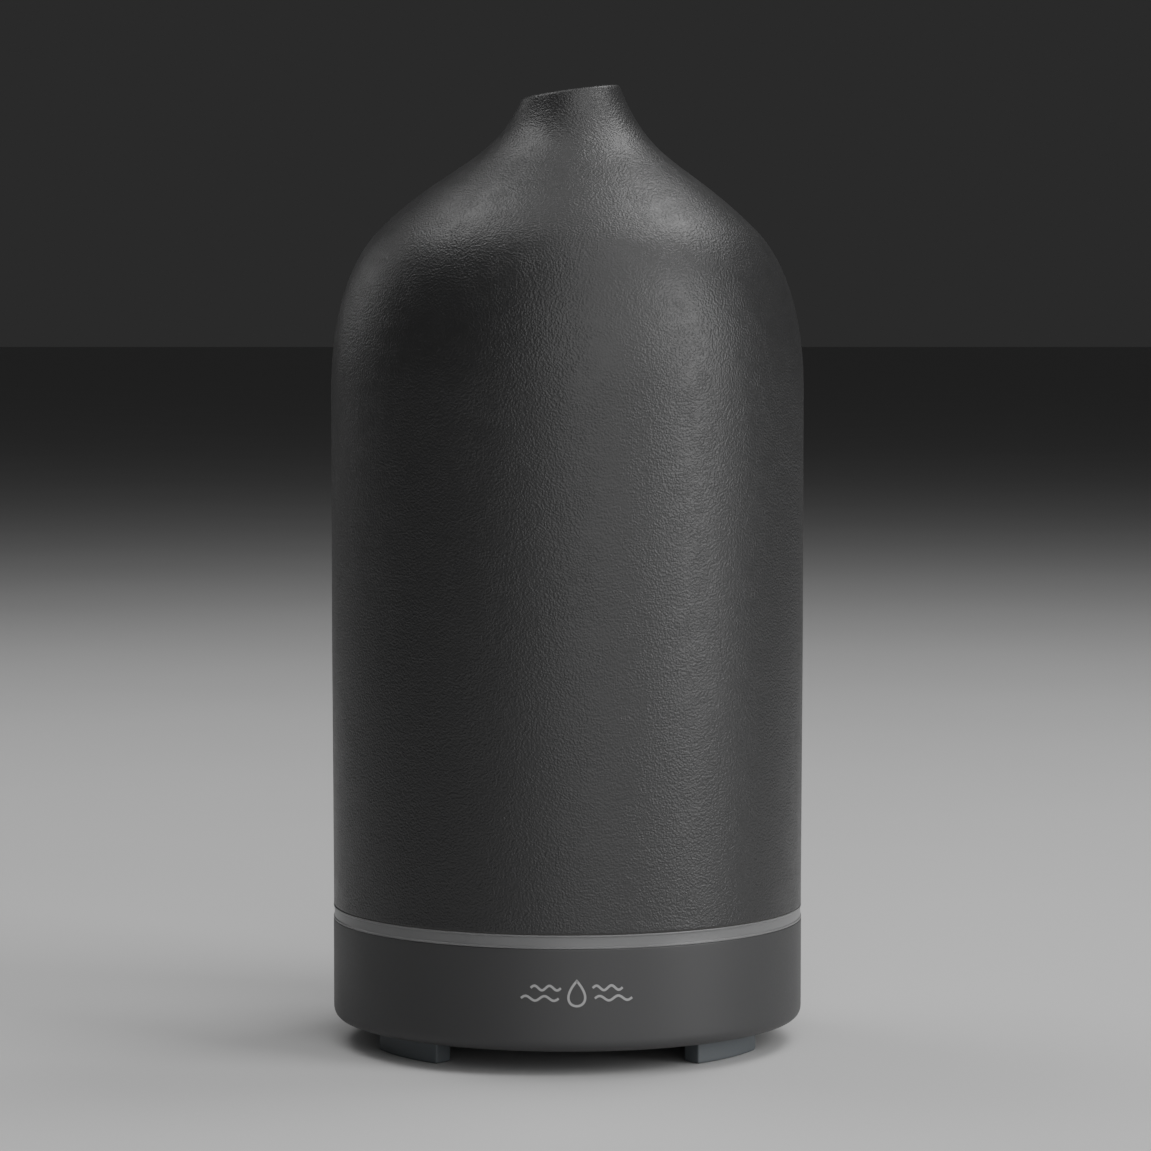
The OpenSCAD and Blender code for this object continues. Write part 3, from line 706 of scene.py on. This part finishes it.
def make_light_ring():
    """The band between base and cover, with its skirt in the shell and the cover's seat on top."""
    r = BASE_R / MM
    low, high = BASE_TOP / MM, RING_TOP / MM
    foot = ring_low.z / MM
    skirt = r - SHELL_WALL - RING_GAP
    seat, ledge = r - 4.2, r - 6.6
    corners = [
        (skirt - RING_WALL, foot), (skirt, foot), (skirt, low), (r - 0.04, low), (r, low + 0.1),
        (r, low + BEAD), (r - GROOVE, low + BEAD + 0.12), (r - GROOVE, high - BEAD - 0.12),
        (r, high - BEAD), (r, high - 0.1), (r - 0.04, high), (seat, high), (seat, high - 1.5),
        (ledge, high - 1.5), (ledge, low), (skirt - RING_WALL, low),
    ]
    radii = [0.1, 0.1, 0, 0.08, 0.08, 0.1, 0.1, 0.1, 0.1, 0.08, 0.08, 0.1, 0, 0.1, 0.1, 0]
    profile = fillet_path(mm(corners), [x * MM for x in radii], 4)
    return revolve("ring_diffuser", split_long(profile, 1.5 * MM), 320, SLOTS["diffuser_plastic"], 40)


settle(make_light_ring(), "base", "diffuser_plastic", "light_ring")


# ---------------------------------------------------------------- base shell

PANEL_Z = (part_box("dc_jack_pin")[0].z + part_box("dc_jack_pin")[1].z) / 2
BUTTON_ANGLE = math.radians(30)
BUTTON_HOLE_R = 3.6 * MM
JACK_HOLE_R = 4.1 * MM


def rear_place(angle, out):
    """Puts a piece drawn along +Z at the rear wall, pointing outward."""
    turn = Matrix.Rotation(-angle, 4, "Z") @ Matrix.Translation((0, 0, PANEL_Z))
    return turn @ Matrix.Rotation(-math.pi / 2, 4, "X") @ Matrix.Translation((0, 0, out))


def cut(obj, tool):
    """Takes the tool's shape out of the object and removes the tool."""
    mod = obj.modifiers.new("cut", "BOOLEAN")
    mod.operation = "DIFFERENCE"
    mod.solver = "EXACT"
    mod.object = tool
    bpy.context.view_layer.objects.active = obj
    bpy.ops.object.modifier_apply(modifier=mod.name)
    bpy.data.objects.remove(tool)


def make_shell():
    """The base's outer wall with its turned-in foot, and the holes for jack and buttons."""
    r, low, top = BASE_R / MM, BASE_LOW / MM, BASE_TOP / MM
    bore = r - SHELL_WALL
    ledge = ring_low.z / MM - 1.2
    step, lip, floor = bore - 2.8, bore - 4.4, low + 2.2
    corners = [
        (step, low), (r, low), (r, top), (bore, top), (bore, ledge), (bore - 2, ledge),
        (bore - 2, ledge - 1), (bore, ledge - 1.2), (bore, floor + 0.6), (bore - 0.6, floor),
        (lip, floor), (lip, low + 1.2), (step, low + 1.2),
    ]
    radii = [0.2, 2.4, 0.25, 0.15, 0, 0.1, 0, 0, 0.2, 0, 0.1, 0, 0]
    profile = fillet_path(mm(corners), [x * MM for x in radii], 10)
    shell = revolve("shell_base", split_long(profile, 1.3 * MM), 384, SLOTS["dark_plastic"], 40)
    inside, outside = -4 * MM, 6 * MM
    for angle, radius in ((0, JACK_HOLE_R), (BUTTON_ANGLE, BUTTON_HOLE_R), (-BUTTON_ANGLE, BUTTON_HOLE_R)):
        line = [v2(0, inside), v2(radius, inside), v2(radius, outside), v2(0, outside)]
        cut(shell, revolve_solid("tool", line, 64, None, rear_place(angle, BASE_R)))
    sharpen(shell.data, 40)
    return shell


settle(make_shell(), "base", "dark_plastic", "base_shell")


# ---------------------------------------------------------------- feet

FOOT_INNER_R, FOOT_OUTER_R = 34.5 * MM, 38.5 * MM
FOOT_START, FOOT_END = math.radians(22.5), math.radians(51)
FOOT_CORNER = 1.3 * MM
FOOT_BEVEL = 0.6 * MM


def arc_line(radius, start, end, steps=24):
    angles = [start + (end - start) * i / steps for i in range(steps + 1)]
    return [v2(radius * math.cos(a), radius * math.sin(a)) for a in angles]


def make_foot(name):
    """A pad along an arc, in the quarter where the CAD foot of that name stands."""
    low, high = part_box(name)
    sign_x = 1 if low.x + high.x > 0 else -1
    sign_y = 1 if low.y + high.y > 0 else -1
    out_line = arc_line(FOOT_OUTER_R, FOOT_START, FOOT_END)
    in_line = arc_line(FOOT_INNER_R, FOOT_START, FOOT_END)
    radii = [0.0] * len(out_line)
    radii[0] = radii[-1] = FOOT_CORNER
    outline = fillet_path(out_line + in_line[::-1], radii + radii, 5)
    outline = [v2(p.x * sign_x, p.y * sign_y) for p in outline]
    turns = [math.pi / 2 * k / 5 for k in range(6)]
    levels = [(FOOT_BEVEL * (1 - math.cos(t)), FOOT_BEVEL * (1 - math.sin(t))) for t in turns]
    levels += [(2.2 * MM, 0), (BASE_LOW, 0)]
    return prism(name.replace("_foot", "_pad"), outline, levels, SLOTS["foot_rubber"])


for foot_name in ("front_left_foot", "front_right_foot", "rear_left_foot", "rear_right_foot"):
    settle(make_foot(foot_name), "base", "foot_rubber", foot_name)


# ---------------------------------------------------------------- buttons and printed marks

def wave_line(x0, x1, y, height, count, points=40):
    """An open line of the given number of waves from x0 to x1."""
    return [v2(x0 + (x1 - x0) * i / points, y + height * math.sin(TAU * count * i / points))
            for i in range(points + 1)]


def drop_line(width, height, points=48):
    """Closed outline of a droplet, its point up, centred on its middle."""
    line = []
    for i in range(points):
        t = TAU * i / points
        x = math.sin(t) * math.sin(t / 2)
        y = math.cos(t)
        line.append(v2(x * width * 0.6, y * height / 2))
    return line


def circle_line(radius, points=32):
    turns = [TAU * i / points for i in range(points)]
    return [v2(radius * math.cos(a), radius * math.sin(a)) for a in turns]


BUTTON_R = 3.5 * MM
BUTTON_TAIL = 41.2 * MM               # the inner end's distance from the axis
BUTTON_FACE = BASE_R + 0.5 * MM       # the outer face's distance
BUTTON_DISH = 0.12 * MM               # depth of the hollow in the face
COLLAR = v2(0.8 * MM, 0.9 * MM)       # width and height of the collar that keeps the cap in


def make_button(name, angle, body, node, icon):
    length = BUTTON_FACE - BUTTON_TAIL
    corners = [v2(0, 0), v2(BUTTON_R + COLLAR.x, 0), v2(BUTTON_R + COLLAR.x, COLLAR.y),
               v2(BUTTON_R, COLLAR.y), v2(BUTTON_R, length), v2(0, length - BUTTON_DISH)]
    profile = fillet_path(corners, [0, 0.15 * MM, 0.15 * MM, 0.05 * MM, 0.4 * MM, 0], 6)
    cap = revolve_solid(name, split_long(profile, 1 * MM, closed=False), 64, SLOTS["dark_plastic"],
                        rear_place(angle, BUTTON_TAIL))
    settle(cap, body, "dark_plastic", node)
    place = rear_place(angle, BUTTON_FACE)

    def wrap(x, y, height):
        dish = BUTTON_DISH * (1 - math.hypot(x, y) / BUTTON_R)
        return place @ Vector((-x, -y, height - dish - 0.02 * MM))

    mark = strokes(name + "_icon", icon, 0.28 * MM, 0.05 * MM, wrap, INK)
    settle(mark, body, "dark_plastic")


def sun_icon(radius, ray_start, ray_end, rays=8):
    """A ring with short rays round it."""
    lines = [(circle_line(radius), True)]
    for i in range(rays):
        ray = v2(math.cos(TAU * i / rays), math.sin(TAU * i / rays))
        middle = (ray_start + ray_end) / 2
        lines.append(([ray * ray_start, ray * middle, ray * ray_end], False))
    return lines


light_icon = sun_icon(0.8 * MM, 1.25 * MM, 1.85 * MM)
mist_icon = [(drop_line(2.6 * MM, 3.4 * MM), True)]
make_button("light_cap", BUTTON_ANGLE, "light_key", "light_button", light_icon)
make_button("mist_cap", -BUTTON_ANGLE, "mist_key", "mist_button", mist_icon)


MARK_X, MARK_Z = 1.7 * MM, 15.6 * MM
MARK_WAVES = ((1.0, 2.9, 8.4), (-0.9, 3.3, 10.2))     # height, near end and far end in mm


def make_front_mark():
    """Generic printed mark: a droplet between wavy lines of mist."""
    def wrap(x, y, height):
        a = (x + MARK_X) / BASE_R
        r = BASE_R + height - 0.012 * MM
        return Vector((r * math.sin(a), -r * math.cos(a), MARK_Z + y))

    lines = [(drop_line(3.3 * MM, 4.6 * MM), True)]
    for side in (-1, 1):
        for y, near, far in MARK_WAVES:
            x0, x1 = sorted((side * near * MM, side * far * MM))
            lines.append((wave_line(x0, x1, y * MM, 0.42 * MM, 2), False))
    return strokes("front_mark", lines, 0.42 * MM, 0.03 * MM, wrap, INK)


settle(make_front_mark(), "base", "dark_plastic")


# ---------------------------------------------------------------- lid

def smooth_line(points, steps=6):
    """A soft curve through the points."""
    out = []
    n = len(points)
    for i in range(n - 1):
        p0, p1 = points[max(i - 1, 0)], points[i]
        p2, p3 = points[i + 1], points[min(i + 2, n - 1)]
        for k in range(steps):
            t = k / steps
            out.append(0.5 * ((2 * p1) + (p2 - p0) * t + (2 * p0 - 5 * p1 + 4 * p2 - p3) * t * t
                              + (3 * p1 - p0 - 3 * p2 + p3) * t ** 3))
    out.append(points[-1].copy())
    return out


def make_lid():
    """The mist lid: a skirt in the tank, a rim on it, a dome and the chimney, all one wall."""
    foot, top = lid_low.z / MM, lid_high.z / MM
    rim = foot + 8
    r = lid_high.x / MM
    skirt, wall, bore = r - 2.3, 1.4, 5.8
    outer = bore + wall
    edge = fillet_path(mm([(skirt - wall, foot), (skirt, foot), (skirt, rim), (r, rim),
                           (r, rim + 1.2), (r - 0.8, rim + 2), (30, rim + 7)]),
                       [0, 0.3 * MM, 0.2 * MM, 0.15 * MM, 0.2 * MM, 0.6 * MM, 0], 5)[1:-1]
    dome = smooth_line(mm([(r - 1.6, rim + 2.4), (30, rim + 7), (20, rim + 13), (outer + 5, rim + 17.5),
                           (outer + 1.6, rim + 21), (outer, rim + 26), (outer, top - 30)]))
    tip = fillet_path(mm([(outer, top - 6), (outer, top), (bore, top), (bore, top - 6)]),
                      [0, 0.6 * MM, 0.4 * MM, 0], 6)
    under = smooth_line(mm([(bore, top - 30), (bore, rim + 25.6), (bore + 1.5, rim + 20),
                            (bore + 4.8, rim + 16.5), (20, rim + 11.4), (30, rim + 5.4)]))
    close = mm([(skirt - wall, rim + 2.6), (skirt - wall, rim - 7.8)])
    profile = edge + dome + tip + under + close
    return revolve("lid_mist", split_long(profile, 3 * MM), 256, SLOTS["white_plastic"], 32)


settle(make_lid(), "lid", "white_plastic", "mist_lid")


# ---------------------------------------------------------------- leads

def bend(points, radius, steps=8):
    """A wire's path: the corner points joined by round bends."""
    out = [points[0].copy()]
    for i in range(1, len(points) - 1):
        p = points[i]
        a, b = points[i - 1] - p, points[i + 1] - p
        reach = min(radius, a.length * 0.48, b.length * 0.48)
        out += soft_corner(p + a.normalized() * reach, p, p + b.normalized() * reach, steps)
    out.append(points[-1].copy())
    return out


LEAD_R = 0.5 * MM
LEAD_BEND = 2.4 * MM


def make_leads(name, routes, slot, node):
    verts, faces = [], []
    for route in routes:
        path = bend([Vector(p) * MM for p in route], LEAD_BEND)
        tube_verts, tube_faces = tube(path, LEAD_R)
        faces += [tuple(len(verts) + q for q in face) for face in tube_faces]
        verts += tube_verts
    settle(new_object(name, verts, faces, SLOTS[slot], 50), "base", slot, node)


BOARD_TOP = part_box("main_board")[1].z / MM
SOCKET_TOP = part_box("board_connectors")[1].z / MM
FAN_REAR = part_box("fan_frame")[1].y / MM
DISC_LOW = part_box("transducer_disc")[0].z / MM
LED_BOARD_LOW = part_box("led_board")[0].z / MM
SIDES = (-0.9, 0.9)     # the two wires of a pair, from its middle
SOCKET_Y = 14.2


def fan_route(s):
    return [(8.5 + s, FAN_REAR, BOARD_TOP + 3), (8.5 + s, 10.5, BOARD_TOP + 3),
            (8.5 + s, 10.5, SOCKET_TOP + 1.8), (8.5 + s, SOCKET_Y, SOCKET_TOP + 1.8),
            (8.5 + s, SOCKET_Y, SOCKET_TOP)]


def transducer_route(s):
    return [(-7 + s, SOCKET_Y, SOCKET_TOP), (-7 + s, SOCKET_Y, 37 - s), (-7 + s, 3 - s, 37 - s),
            (s * 3, 3 - s, 37 - s), (s * 3, 3 - s, DISC_LOW)]


def led_route(s):
    return [(-17.5 + s, SOCKET_Y, SOCKET_TOP), (-17.5 + s, SOCKET_Y, SOCKET_TOP + 2 + s),
            (-36.6, 4 + s, SOCKET_TOP + 2 + s), (-36.6, 4 + s, LED_BOARD_LOW)]


make_leads("wires_fan", [fan_route(s) for s in SIDES], "red_lead", "fan_leads")
make_leads("wires_transducer", [transducer_route(s) for s in SIDES], "white_lead", "transducer_leads")
make_leads("wires_led", [led_route(s) for s in SIDES], "white_lead", "led_leads")


# ---------------------------------------------------------------- stage, lights, camera

def make_floor():
    """A plain pale floor, large enough to reach the horizon."""
    size = 20.0
    verts = [(-size, -size, 0), (size, -size, 0), (size, size, 0), (-size, size, 0)]
    m = Nodes("floor_paper")
    fine = m.noise(900, 3, 0.6)
    m.colour(m.mix(m.noise(6, 2), (0.56, 0.56, 0.56), (0.60, 0.60, 0.60)))
    m.roughness(m.range(fine, 0.3, 0.7, 0.75, 0.85))
    m.normal(m.bump(fine, 0.02 * MM))
    floor = new_object("studio_floor", [Vector(v) for v in verts], [(0, 1, 2, 3)], m.material)


make_floor()


def softbox(name, azimuth, height, distance, size, power):
    """Soft lamp aimed at the object; the azimuth is 0 at the camera's side and grows to the right."""
    data = bpy.data.lights.new(name, "AREA")
    data.shape = "RECTANGLE"
    data.size, data.size_y = size
    data.energy = power
    lamp = bpy.data.objects.new(name, data)
    a = math.radians(azimuth)
    lamp.location = (distance * math.sin(a), -distance * math.cos(a), height)
    aim = Vector((0, 0, 0.1)) - lamp.location
    lamp.rotation_euler = aim.to_track_quat("-Z", "Y").to_euler()
    bpy.context.scene.collection.objects.link(lamp)


softbox("key_right", 62, 0.45, 1.05, (0.5, 1.0), 9.3)
softbox("front_wide", 12, 0.42, 1.05, (0.8, 0.9), 4.7)
softbox("high_front", 25, 1.15, 0.6, (0.7, 0.5), 3.0)
softbox("top_right", 121, 1.1, 0.62, (0.6, 0.55), 5.6)
softbox("top_left", -123, 1.1, 0.62, (0.6, 0.55), 3.4)
softbox("top_middle", 180, 1.25, 0.15, (0.5, 0.4), 0.8)
softbox("rim_left", -130, 0.45, 1.0, (0.3, 0.5), 0.7)

world = bpy.data.worlds.new("studio_air")
world.use_nodes = True
world.node_tree.nodes["Background"].inputs["Color"].default_value = (1, 1, 1, 1)
world.node_tree.nodes["Background"].inputs["Strength"].default_value = 0.03
bpy.context.scene.world = world

camera_data = bpy.data.cameras.new("camera")
camera_data.lens = 131.2
camera_data.sensor_width = 36
camera_data.shift_x = 0.0070
camera_data.shift_y = -0.0018
camera = bpy.data.objects.new("camera", camera_data)
camera.location = (0, -0.8, 0.1378)
camera.rotation_euler = (math.radians(90 - 3.47), 0, 0)
bpy.context.scene.collection.objects.link(camera)
bpy.context.scene.camera = camera
